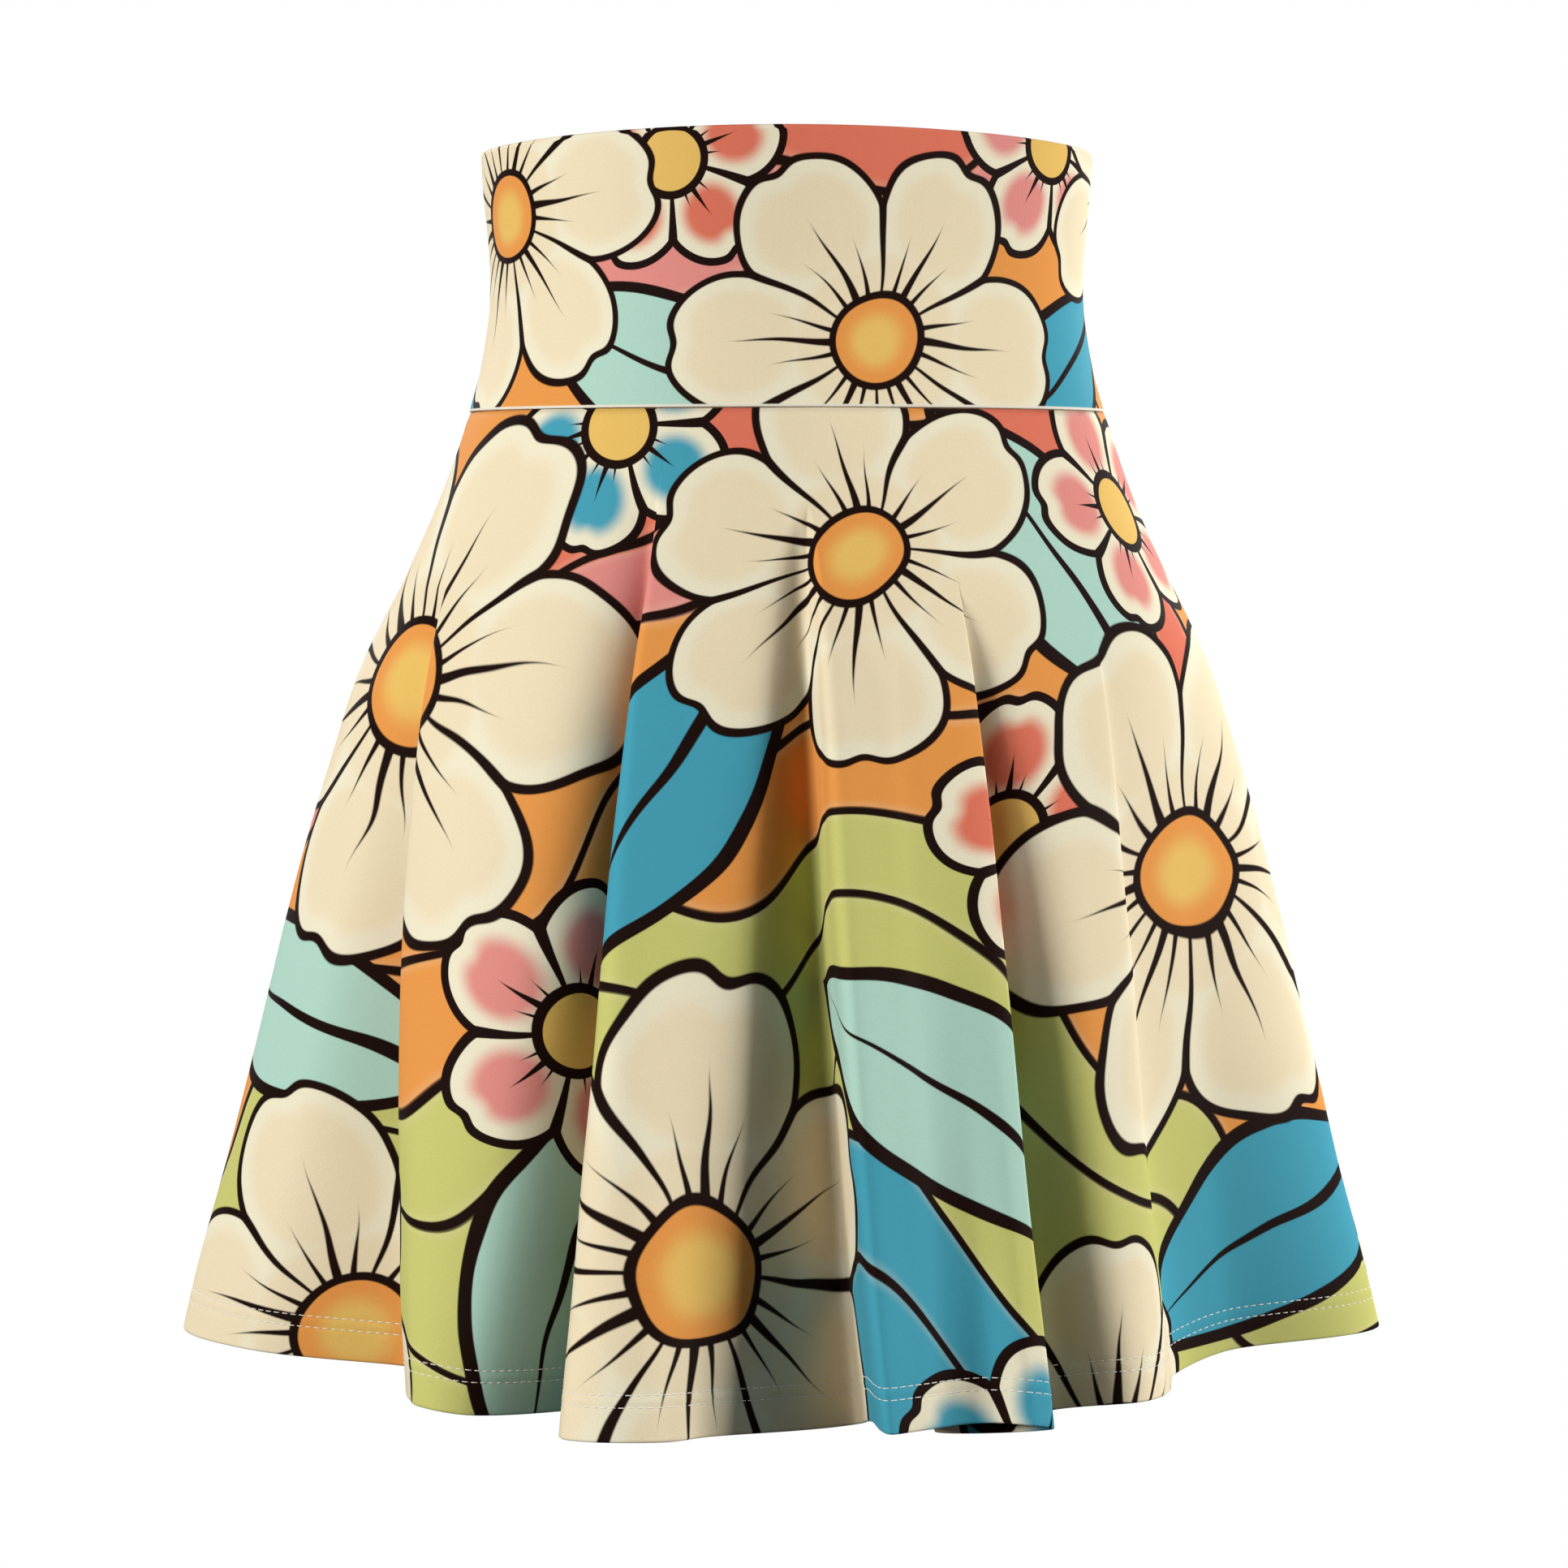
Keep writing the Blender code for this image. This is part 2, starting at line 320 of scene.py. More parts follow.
# The cloth's own look
WALE = 0.55  # the knit's columns of loops
COURSE = 0.42  # its rows of loops
LOOP_LEAN = 2.0  # how steep the arms of a loop's V are
LOOP_HEIGHT = 0.7  # against the height of a column
KNIT_RELIEF = 0.00004  # metres
KNIT_STRENGTH = 0.35
GRAIN_SCALE = 1300.0  # of the fine speckle of the print, in each metre
GRAIN = 0.12  # how dark the speckle is
INSIDE_FADE = 0.3  # how much paler the print shows on the inside


def flat_place(angle, down):
    """Where a point of a panel lies on the flat cloth."""
    radius = WAIST_RADIUS + np.asarray(down, float)
    turn = np.radians(angle)
    return np.stack([radius * np.sin(turn), -radius * np.cos(turn)], axis=-1)


def motif_field(flat, faces, motifs):
    """At each face's corners: the place in the motif nearest to the face, in radii, and its hue."""
    x, y, radius, turn, hue = np.array(motifs, float).T
    sizes = np.array([len(face) for face in faces])
    corners = flat[np.concatenate(faces)]
    firsts = np.concatenate([[0], np.cumsum(sizes)[:-1]])
    middles = np.add.reduceat(corners, firsts, axis=0) / sizes[:, None]
    offset = middles[:, None, :] - np.stack([x, y], axis=1)[None]
    nearest = np.repeat(np.argmin(np.linalg.norm(offset, axis=2) / radius, axis=1), sizes)
    offset = (corners - np.stack([x, y], axis=1)[nearest]) / radius[nearest, None]
    cos, sin = np.cos(np.radians(turn[nearest])), np.sin(np.radians(turn[nearest]))
    across = offset[:, 0] * cos + offset[:, 1] * sin
    along = offset[:, 1] * cos - offset[:, 0] * sin
    return np.stack([across, along, hue[nearest]], axis=1)


def wave_field(flat):
    """How far down the wavy bands each flat point lies."""
    x, y = flat[:, 0], flat[:, 1]
    sway = sum(
        height * np.sin(x / across + y / down + start) for height, across, down, start in WAVES
    )
    return sway - y


# ---- Form ----


def curve_through(at, values, where, rising=()):
    """A smooth curve through values, given at the rising places at and read at where.

    The columns of values that are listed in rising don't turn back between two points.
    """
    slopes = np.gradient(values, at, axis=0)
    for column in rising:
        steps = np.diff(values[:, column]) / np.diff(at)
        steepest = 3 * np.minimum(steps[1:], steps[:-1])
        slopes[1:-1, column] = np.minimum(slopes[1:-1, column], steepest)
    index = np.clip(np.searchsorted(at, where, side="right") - 1, 0, len(at) - 2)
    span = (at[index + 1] - at[index])[:, None]
    part = (where - at[index])[:, None] / span
    start = values[index] * (1 + 2 * part) * (1 - part) ** 2
    end = values[index + 1] * (3 - 2 * part) * part**2
    bend = slopes[index] * part * (1 - part) ** 2 - slopes[index + 1] * (1 - part) * part**2
    return start + end + span * bend


def on_ellipse(degrees, half_width, half_depth, inside=0.0):
    """Plan points at these angles, moved inside the ellipse along its normal."""
    angle = np.radians(degrees)
    outward = np.stack([np.sin(angle) / half_width, -np.cos(angle) / half_depth], axis=-1)
    outward /= np.linalg.norm(outward, axis=-1, keepdims=True)
    edge = np.stack([half_width * np.sin(angle), -half_depth * np.cos(angle)], axis=-1)
    return edge - np.asarray(inside)[..., None] * outward


class Fold(NamedTuple):
    """A row of FOLDS. Each angle at the hem has its distance inside the smooth form behind it."""

    name: str
    left: float
    left_in: float
    crest: float
    crest_in: float
    right: float
    right_in: float
    valley: float
    valley_in: float
    hip: float  # the valley's angle at the hip
    start: float  # how far down the valley starts
    sag: float  # how much lower the valley's hem hangs
    top: float  # the crest's angle at the hip


ROUND_HEM = [Fold(*row) for row in FOLDS]


def fold_points():
    """The folds' named points round the hem: hem angle, in, hip angle, start and sag of each."""
    points = []
    for row, fold in enumerate(ROUND_HEM):
        before = ROUND_HEM[row - 1]
        hip_before = before.hip - (360 if row == 0 else 0)
        left_hip = hip_before + EDGE_AT_HIP * (fold.top - hip_before)
        right_hip = fold.hip + EDGE_AT_HIP * (fold.top - fold.hip)
        points.append((fold.left, fold.left_in, left_hip, before.start, EDGE_SAG * before.sag))
        points.append((fold.crest, fold.crest_in, fold.top, (before.start + fold.start) / 2, 0))
        points.append((fold.right, fold.right_in, right_hip, fold.start, EDGE_SAG * fold.sag))
        points.append((fold.valley, fold.valley_in, fold.hip, fold.start, fold.sag))
    return np.array(points, float)


def column_steps(spans):
    """Where the columns of one half lie, in spans, with more of them beside the two seams."""
    even = np.arange(spans * COLUMNS_PER_SPAN + 1) / COLUMNS_PER_SPAN
    more = np.array(SEAM_COLUMNS) / COLUMNS_PER_SPAN
    return np.unique(np.concatenate([even, more, spans - more]).round(6))


def hem_columns():
    """Hem angle, in, hip angle, start and sag of each column, and the right side seam's column."""
    points = fold_points()
    whole_turn = (360, 0, 360, 0, 0)
    before, after = 3, 4  # points said again at the two ends, where the curve closes
    points = np.concatenate([points[-before:] - whole_turn, points, points[:after] + whole_turn])
    half_width, half_depth = SKIRT_SECTIONS[-1][1:]
    plan = on_ellipse(points[:, 0], half_width, half_depth, points[:, 1])
    chords = np.linalg.norm(np.diff(plan, axis=0), axis=1)
    at = np.concatenate([[0], np.cumsum(np.sqrt(chords))])
    left_seam = before + 1  # on the first fold's crest
    front_spans = POINTS_PER_FOLD * [fold.crest for fold in ROUND_HEM].index(90)
    front = column_steps(front_spans)
    back = column_steps(POINTS_PER_FOLD * len(FOLDS) - front_spans) + front_spans
    steps = np.concatenate([front[:-1], back[:-1]]) + left_seam
    where = np.interp(steps, np.arange(len(at)), at)
    return curve_through(at, points, where, rising=[HIP]), len(front) - 1


def skirt_rings(downs):
    """A ring of the skirt's smooth face for each distance down, and the right seam's column."""
    columns, right_seam = hem_columns()
    hem_angle, hem_in, hip_angle, start, sag = columns.T
    sections = np.array(SKIRT_SECTIONS)
    sizes = curve_through(sections[:, 0], sections[:, 1:], downs)
    drops = np.sqrt(np.diff(downs) ** 2 - np.diff(sizes[:, 0]) ** 2)
    levels = WAIST_SEAM_Z - SEAM_GAP - np.concatenate([[0], np.cumsum(drops)])
    rings = []
    for down, (half_width, half_depth), level in zip(downs, sizes, levels):
        share = np.clip((down - start) / (SKIRT_LENGTH - start), 0, 1)
        depth = (share**2 / (share + FOLD_SOFTNESS) * (1 + FOLD_SOFTNESS)) ** FOLD_GROWTH
        angle = hip_angle + (hem_angle - hip_angle) * share**LAP_SOFTNESS
        plan = on_ellipse(angle, half_width, half_depth, hem_in * depth)
        lower = FRONT_DROP * np.cos(np.radians(angle)) ** 2 * down / SKIRT_LENGTH + sag * depth
        rings.append(np.column_stack([plan, level - lower]))
    return np.array(rings), right_seam


def band_rings():
    """Points of the waistband's outer face, a ring for each row from its top edge down."""
    sections = np.array(BAND_SECTIONS)[::-1]
    angles = np.linspace(-90, 270, 2 * BAND_COLUMNS, endpoint=False)
    arch = BAND_TOP_ARCH * np.cos(np.radians(angles)) ** 2
    rings = []
    bared = 1 - np.array(BARED_ROWS) * UNPRINTED / (BAND_TOP_Z - WAIST_SEAM_Z)
    for share in np.unique(np.concatenate([np.linspace(0, 1, BAND_ROWS + 1), bared])):
        level = BAND_TOP_Z + (WAIST_SEAM_Z - BAND_TOP_Z) * share
        sizes = curve_through(sections[:, 0], sections[:, 1:], np.array([level]))
        plan = on_ellipse(angles, *sizes[0])
        rings.append(np.column_stack([plan, level + arch * (1 - share)]))
    return np.array(rings)


def unit(vectors):
    return vectors / np.linalg.norm(vectors, axis=-1, keepdims=True)


def normals_of(rings):
    """Outward unit normals of closed rings that run from the top down."""
    along = np.roll(rings, -1, axis=1) - np.roll(rings, 1, axis=1)
    return unit(np.cross(np.gradient(rings, axis=0), along))


def along_rings(rings):
    """How far along its half ring each column lies, from the first column to the last."""
    steps = np.linalg.norm(np.diff(rings, axis=1), axis=2)
    return np.concatenate([np.zeros((len(rings), 1)), np.cumsum(steps, axis=1)], axis=1)


def read_along(where, at, rows):
    """Rows of values, given at the rising places at and read at where."""
    columns = [np.interp(where, at, rows[:, column]) for column in range(rows.shape[1])]
    return np.stack(columns, axis=-1)


# ---- Cloth shells ----


class Ribbon:
    """One layer of cloth, a closed mesh: its face's rows, and its back behind the backed ones."""

    def __init__(self):
        self.face, self.outward, self.flats, self.backed = [], [], [], []

    def add(self, points, outward, flat, backed=True):
        self.face.append(points)
        self.outward.append(outward)
        self.flats.append(flat)
        if backed:
            self.backed.append(len(self.face) - 1)

    def points(self):
        """The face's rows, and then the back's, the other way round."""
        back = [self.face[row] - CLOTH * self.outward[row] for row in reversed(self.backed)]
        return np.concatenate(self.face + back)

    def flat(self):
        """The places of all those points on the flat cloth."""
        return np.concatenate(self.flats + [self.flats[row] for row in reversed(self.backed)])

    def on_back(self):
        """1 at the points of the back and 0 at the face's."""
        rows = [0.0] * len(self.face) + [1.0] * len(self.backed)
        return np.repeat(rows, len(self.face[0]))

    def faces(self):
        """Quads over the face and the back, and one polygon for each backed row at the two ends."""
        columns = len(self.face[0])
        count = len(self.face) + len(self.backed)
        corner = np.arange(count)[:, None] * columns + np.arange(columns - 1)[None]
        below = np.roll(corner, -1, axis=0)
        faces = np.stack([corner, below, below + 1, corner + 1], axis=2).reshape(-1, 4).tolist()
        for place, (high, low) in enumerate(zip(self.backed, self.backed[1:])):
            loop = [*range(high, low + 1), count - place - 2, count - place - 1]
            faces.append([row * columns for row in reversed(loop)])
            faces.append([row * columns + columns - 1 for row in loop])
        return faces


def put_in_scene(name, data):
    thing = bpy.data.objects.new(name, data)
    bpy.context.scene.collection.objects.link(thing)
    return thing


def new_piece(name, points, faces, material, values=()):
    """A mesh object in metres from points in millimetres, with values at its points or corners."""
    mesh = bpy.data.meshes.new(name)
    mesh.from_pydata((points * MM).tolist(), [], faces)
    for title, domain, numbers in values:
        numbers = np.asarray(numbers, np.float32)
        kind, field = ("FLOAT", "value") if numbers.ndim == 1 else ("FLOAT_VECTOR", "vector")
        mesh.attributes.new(title, kind, domain).data.foreach_set(field, numbers.ravel())
    mesh.materials.append(material)
    mesh.shade_smooth()
    return put_in_scene(name, mesh)


def cloth_piece(name, ribbon, motifs, material, inside=None, edge=0.0):
    """A piece of cloth. Its nodes read inside and edge: 1 is inside, and on a bare cut edge."""
    flat, faces = ribbon.flat(), ribbon.faces()
    values = [
        ("wave", "POINT", wave_field(flat) * MM),
        ("flat", "POINT", np.column_stack([flat, np.zeros(len(flat))]) * MM),
        ("inside", "POINT", ribbon.on_back() if inside is None else np.full(len(flat), inside)),
        ("cut_edge", "POINT", np.broadcast_to(edge, len(flat))),
    ]
    for title, table in motifs.items():
        values.append((title, "CORNER", motif_field(flat, faces, table)))
    piece = new_piece(name, ribbon.points(), faces, material, values)
    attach(piece, "root")
    return piece


def skirt_downs():
    """The outer face's rows, closer together over the hem."""
    upper = SKIRT_LENGTH - HEM_ZONE
    lower = SKIRT_LENGTH - HEM_LAYERS / 2
    above = np.linspace(0, upper, round(upper / ROW_STEP) + 1)
    below = np.linspace(upper, lower, round(HEM_ZONE / HEM_ROW_STEP) + 1)
    return np.concatenate([above[:-1], below])


def bump(distance, width):
    return np.exp(-((distance / width) ** 2))


def seam_relief(along):
    """The grooves at the two ends of each row, where the side seams are."""
    from_seam = np.minimum(along, along[:, -1:] - along)
    return -SEAM_GROOVE * bump(from_seam, SEAM_GROOVE_WIDTH)


def skirt_relief(downs, along, flat):
    """How far a skirt panel stands out from its smooth form: seams, hem and soft unevenness."""
    relief = seam_relief(along) - WAIST_GROOVE * np.exp(-downs[:, None] / WAIST_GROOVE_WIDTH)
    above_hem = SKIRT_LENGTH - downs[:, None]
    x, y = flat[..., 0], flat[..., 1]
    length, drift, swell = PUCKER_LENGTHS
    pucker = 1 + 0.5 * np.sin(x / length + 2 * np.sin(y / drift)) * np.sin(x / swell + 1)
    for row in STITCH_ROWS:
        relief -= HEM_GROOVE * bump(above_hem - row, HEM_GROOVE_WIDTH) * pucker
    between = above_hem - sum(STITCH_ROWS) / 2
    relief += HEM_RIDGE * bump(between, HEM_RIDGE_WIDTH) * pucker
    length, drift, down, lean = UNEVEN_LENGTHS
    uneven = np.sin(x / length + 2 * np.sin(y / drift)) * np.sin(y / down + x / lean)
    return relief + UNEVENNESS * uneven


def add_fold(ribbon, across, radius, flat_step):
    """Turns the cloth's face over an edge: round a half circle, to where it faces the other way."""
    edge, outward, flat = ribbon.face[-1], ribbon.outward[-1], ribbon.flats[-1]
    for step in range(1, RIM_STEPS + 1):
        turn = math.pi * step / RIM_STEPS
        shift = radius * (math.sin(turn) * across - (1 - math.cos(turn)) * outward)
        facing = math.cos(turn) * outward + math.sin(turn) * across
        ribbon.add(edge + shift, facing, flat + flat_step * step / RIM_STEPS)


class Panel(NamedTuple):
    """A skirt panel and the grid of its outer face, which its sewing follows."""

    piece: bpy.types.Object
    node: str
    downs: np.ndarray
    outer: np.ndarray
    outward: np.ndarray
    flat: np.ndarray
    along: np.ndarray

    def row(self, down):
        """The face's points, outward directions and flat places at a distance down."""
        at = np.interp(down, self.downs, np.arange(len(self.downs)))
        low = min(int(at), len(self.downs) - 2)
        part = at - low
        grids = (self.outer, self.outward, self.flat)
        points, outward, flat = (grid[low] * (1 - part) + grid[low + 1] * part for grid in grids)
        return points, unit(outward), flat

    def column(self, distance, last):
        """The same, down the panel at a distance inside one of its two ends."""
        values = []
        for grid in (self.outer, self.outward, self.flat):
            rows = []
            for along, row in zip(self.along, grid):
                where = along[-1] - distance if last else distance
                rows.append(read_along(where, along, row))
            values.append(np.array(rows))
        points, outward, flat = values
        return points, unit(outward), flat


def make_skirt(material):
    """The two skirt panels, each with its hem turned up."""
    downs = skirt_downs()
    rings, right_seam = skirt_rings(downs)
    normals = normals_of(rings)
    halves = (
        ("skirt_front", "front_panel", 0, right_seam),
        ("skirt_back", "back_panel", right_seam, rings.shape[1]),
    )
    panels = []
    for node, name, first, last in halves:
        columns = np.arange(first, last + 1) % rings.shape[1]
        smooth = rings[:, columns]
        outward = normals[:, columns]
        along = along_rings(smooth)
        angle = (along / along[:, -1:] - 0.5) * PANEL_ANGLE
        flat = flat_place(angle, downs[:, None])
        outer = ends_apart(smooth + skirt_relief(downs, along, flat)[..., None] * outward)
        downward = unit(np.gradient(smooth, axis=0))[-1]
        ribbon = Ribbon()
        final = len(downs) - 1
        for row in range(len(downs)):
            backed = (final - row) % BACK_EVERY == 0 or row == 0
            ribbon.add(outer[row], outward[row], flat[row], backed)
        down_flat = flat_place(angle[-1], SKIRT_LENGTH + HEM_LAYERS) - flat[-1]
        add_fold(ribbon, downward, HEM_LAYERS / 2, down_flat)
        for row in range(final - HEM_BACK_EVERY, 0, -HEM_BACK_EVERY):
            if downs[row] < SKIRT_LENGTH - HEM_ALLOWANCE:
                break
            beyond = flat_place(angle[row], 2 * SKIRT_LENGTH - downs[row])
            ribbon.add(outer[row] - HEM_LAYERS * outward[row], -outward[row], beyond)
        piece = cloth_piece(name, ribbon, SKIRT_MOTIFS[node], material)
        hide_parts(node)
        panels.append(Panel(piece, node, downs, outer, outward, flat, along))
    return panels


def ends_apart(grid):
    """Moves the two end columns half a seam gap inside."""
    for end, inner in ((0, 1), (-1, -2)):
        grid[:, end] += unit(grid[:, inner] - grid[:, end]) * SEAM_GAP / 2
    return grid


def panel_motifs(table):
    """Motifs given by angle and distance down, as places on the flat cloth."""
    places = []
    for angle, down, radius, turn, hue in table:
        x, y = flat_place(angle, down)
        places.append((x, y, radius, turn + angle, hue))
    return places


def mirrored(table, shift=0):
    """The same motifs the other way round, for a panel cut elsewhere from the cloth."""
    return [(-x, y + shift, radius, -turn, hue) for x, y, radius, turn, hue in table]


FRONT_MOTIFS = {
    "leaf": panel_motifs(FRONT_LEAVES),
    "posy": panel_motifs(FRONT_POSIES),
    "blossom": panel_motifs(FRONT_BLOSSOMS),
}
SKIRT_MOTIFS = {
    "skirt_front": FRONT_MOTIFS,
    "skirt_back": {title: mirrored(table, BACK_SHIFT) for title, table in FRONT_MOTIFS.items()},
}


# ---- Materials ----


def linear(name):
    """A colour of the palette as the cloth's own colour."""
    values = [value / 255 for value in PALETTE[name]]
    values = [v / 12.92 if v <= 0.04045 else ((v + 0.055) / 1.055) ** 2.4 for v in values]
    return (*[REFLECTANCE * v for v in values], 1.0)


class Graph:
    """Shorthand for a material's nodes: each call adds a node and returns its output."""

    def __init__(self, name):
        self.material = bpy.data.materials.new(name)
        self.material.use_nodes = True
        self.tree = self.material.node_tree
        self.shader = self.tree.nodes["Principled BSDF"]

    def add(self, kind, inputs=(), output=0, **settings):
        """A node with these settings. An input is a number, a colour or another node's output."""
        node = self.tree.nodes.new(kind)
        for key, value in settings.items():
            setattr(node, key, value)
        for place, value in dict(inputs).items():
            socket = node.inputs[place]
            if isinstance(value, bpy.types.NodeSocket):
                self.tree.links.new(value, socket)
            else:
                socket.default_value = value
        return node.outputs[output]

    def math(self, operation, *values):
        return self.add("ShaderNodeMath", enumerate(values), operation=operation)

    def plus(self, first, second):
        return self.math("ADD", first, second)

    def minus(self, first, second):
        return self.math("SUBTRACT", first, second)

    def times(self, first, second):
        return self.math("MULTIPLY", first, second)

    def square(self, value):
        return self.math("MULTIPLY", value, value)

    def size(self, value):
        return self.math("ABSOLUTE", value)

    def mix(self, share, below, above):
        """Colour above over colour below, as share goes from 0 to 1."""
        inputs = {0: share, 6: below, 7: above}
        return self.add("ShaderNodeMix", inputs, output=2, data_type="RGBA")

    def vector(self, title):
        return self.add("ShaderNodeAttribute", output="Vector", attribute_name=title)

    def number(self, title):
        return self.add("ShaderNodeAttribute", output="Fac", attribute_name=title)

    def parts(self, vector):
        node = self.tree.nodes.new("ShaderNodeSeparateXYZ")
        self.tree.links.new(vector, node.inputs[0])
        return node.outputs

    def ramp(self, value, stops, interpolation="LINEAR"):
        """A colour ramp from (position, colour) stops."""
        node = self.tree.nodes.new("ShaderNodeValToRGB")
        node.color_ramp.interpolation = interpolation
        elements = node.color_ramp.elements
        while len(elements) > 1:
            elements.remove(elements[-1])
        elements[0].position = stops[0][0]
        elements[0].color = stops[0][1]
        for position, colour in stops[1:]:
            elements.new(position).color = colour
        self.tree.links.new(value, node.inputs[0])
        return node.outputs[0]

    def hue(self, motif, hues):
        """The colour that the hue kept with a motif stands for."""
        stops = [(at, linear(name)) for name, at in hues]
        return self.ramp(self.parts(motif)[2], stops, "CONSTANT")

    def step(self, value, edge, soft):
        """0 below the edge and 1 above it, with a soft change as wide as soft."""
        if isinstance(edge, bpy.types.NodeSocket):
            start, end = self.minus(edge, soft / 2), self.plus(edge, soft / 2)
        else:
            start, end = edge - soft / 2, edge + soft / 2
        inputs = {0: value, 1: start, 2: end}
        return self.add("ShaderNodeMapRange", inputs, interpolation_type="SMOOTHSTEP")

    def below(self, value, edge, soft):
        """1 below the edge and 0 above it."""
        return self.minus(1.0, self.step(value, edge, soft))


def cover(graph, below, inside, outline, colour):
    """A shape over the colours below it: its own colour inside, then its outline."""
    return graph.mix(outline, graph.mix(inside, below, colour), linear("line"))


def add_flower(graph, title, below, wobble, petal_colour, disc_colour):
    """A layer of round-petalled flowers over the colours below."""
    petals, middle, radius, disc, line = PETAL[title]
    place = graph.add("ShaderNodeVectorMath", {0: graph.vector(title), 1: wobble}, operation="ADD")
    x, y, _ = graph.parts(place)
    out = graph.math("SQRT", graph.plus(graph.square(x), graph.square(y)))
    turn = graph.times(graph.math("ARCTAN2", y, x), petals / math.tau)
    apart = graph.minus(turn, graph.math("ROUND", turn))
    angle = graph.size(graph.times(apart, math.tau / petals))
    along = graph.times(out, graph.math("COSINE", angle))
    across = graph.times(out, graph.math("SINE", angle))

    # How deep inside the petals: a circle each, with a nick in its tip, all joined round the disc
    past = graph.minus(along, middle)
    squares = graph.plus(graph.square(past), graph.square(graph.times(across, PETAL_SQUEEZE)))
    depth = graph.minus(radius, graph.math("SQRT", squares))
    from_tip = graph.square(graph.times(across, NOTCH_SHARPNESS))
    notch = graph.math("EXPONENT", graph.times(from_tip, -1.0))
    notch = graph.times(notch, graph.step(past, NOTCH_START, NOTCH_SOFT))
    depth = graph.minus(depth, graph.times(notch, NOTCH_DEPTH))
    depth = graph.math("MAXIMUM", depth, graph.minus(middle * JOINED, out))

    # The line between two petals, and the strokes that fan out from the disc on each
    from_parting = graph.times(out, graph.math("SINE", graph.minus(math.pi / petals, angle)))
    parting = graph.below(from_parting, graph.times(out, line * PARTING), SOFT)

    def stroke(offset, reach, width):
        taper = graph.times(graph.minus(middle * reach, out), line * width)
        return graph.below(offset, taper, SOFT)

    from_side = graph.size(graph.minus(across, graph.times(along, SIDE_LEAN)))
    strokes = graph.math("MAXIMUM", stroke(across, *MIDDLE_STROKE), stroke(from_side, *SIDE_STROKE))

    rim_edge, rim_soft = RIM
    rim = graph.below(depth, line * rim_edge, line * rim_soft)
    petal = graph.mix(rim, petal_colour, linear("halo"))
    petal = graph.mix(graph.math("MAXIMUM", parting, strokes), petal, linear("line"))
    light_edge, light_soft = DISC_LIGHT
    light = graph.below(out, disc * light_edge, disc * light_soft)
    disc_colour = graph.mix(light, disc_colour, linear("amber"))
    petal = graph.mix(graph.below(out, disc + line, SOFT), petal, linear("line"))
    petal = graph.mix(graph.below(out, disc, SOFT), petal, disc_colour)
    inside = graph.step(depth, 0.0, SOFT)
    outline = graph.below(graph.size(depth), line / 2, SOFT)
    return cover(graph, below, inside, outline, petal)


def add_leaf(graph, below, wobble):
    """A layer of pointed leaves over the colours below."""
    motif = graph.vector("leaf")
    place = graph.add("ShaderNodeVectorMath", {0: motif, 1: wobble}, operation="ADD")
    x, y, _ = graph.parts(place)
    from_rib = graph.size(y)
    bow = graph.times(graph.minus(1.0, graph.square(x)), LEAF_BOW)
    depth = graph.minus(bow, from_rib)
    inside = graph.step(depth, 0.0, SOFT)
    outline = graph.below(graph.size(depth), LEAF_LINE, SOFT)
    rib = graph.below(from_rib, graph.times(graph.plus(x, RIB_REACH), RIB_WIDTH), SOFT)
    colour = graph.mix(rib, graph.hue(motif, LEAF_HUES), linear("line"))
    return cover(graph, below, inside, outline, colour)


def add_ground(graph, wobble):
    """Wavy bands with dark lines between them."""
    total = sum(width for _, width in GROUND_BANDS)
    wave = graph.plus(graph.number("wave"), graph.times(graph.parts(wobble)[0], GROUND_WOBBLE))
    share = graph.math("DIVIDE", graph.minus(wave, WAVE_TOP * MM), total * MM)
    colours, lines, start = [], [], 0
    for colour, width in GROUND_BANDS:
        half = width / 2 / RAMP_UNIT
        colours.append((start / total, linear(colour)))
        lines.append((start / total, (0, 0, 0, 1)))
        lines.append(((start + width / 2) / total, (half, half, half, 1)))
        start += width
    lines.append((1.0, (0, 0, 0, 1)))
    ground = graph.ramp(share, colours, "CONSTANT")
    from_line = graph.ramp(share, lines)
    glow = graph.below(from_line, GLOW_REACH / RAMP_UNIT, GLOW_REACH / RAMP_UNIT)
    ground = graph.mix(graph.times(glow, GLOW), ground, linear("cream"))
    line = graph.below(from_line, LINE_WIDTH / 2 / RAMP_UNIT, LINE_SOFT / RAMP_UNIT)
    return graph.mix(line, ground, linear("line"))


def hand_wobble(graph, flat):
    """How far the drawing lies off its place, to each side."""
    inputs = {"Vector": flat, "Scale": WOBBLE_SCALE, "Detail": 1.0}
    noise = graph.add("ShaderNodeTexNoise", inputs, output="Color")
    middle, size = (0.5, 0.5, 0.5), (WOBBLE, WOBBLE, 0.0)
    off = graph.add("ShaderNodeVectorMath", {0: noise, 1: middle}, operation="SUBTRACT")
    return graph.add("ShaderNodeVectorMath", {0: off, 1: size}, operation="MULTIPLY")


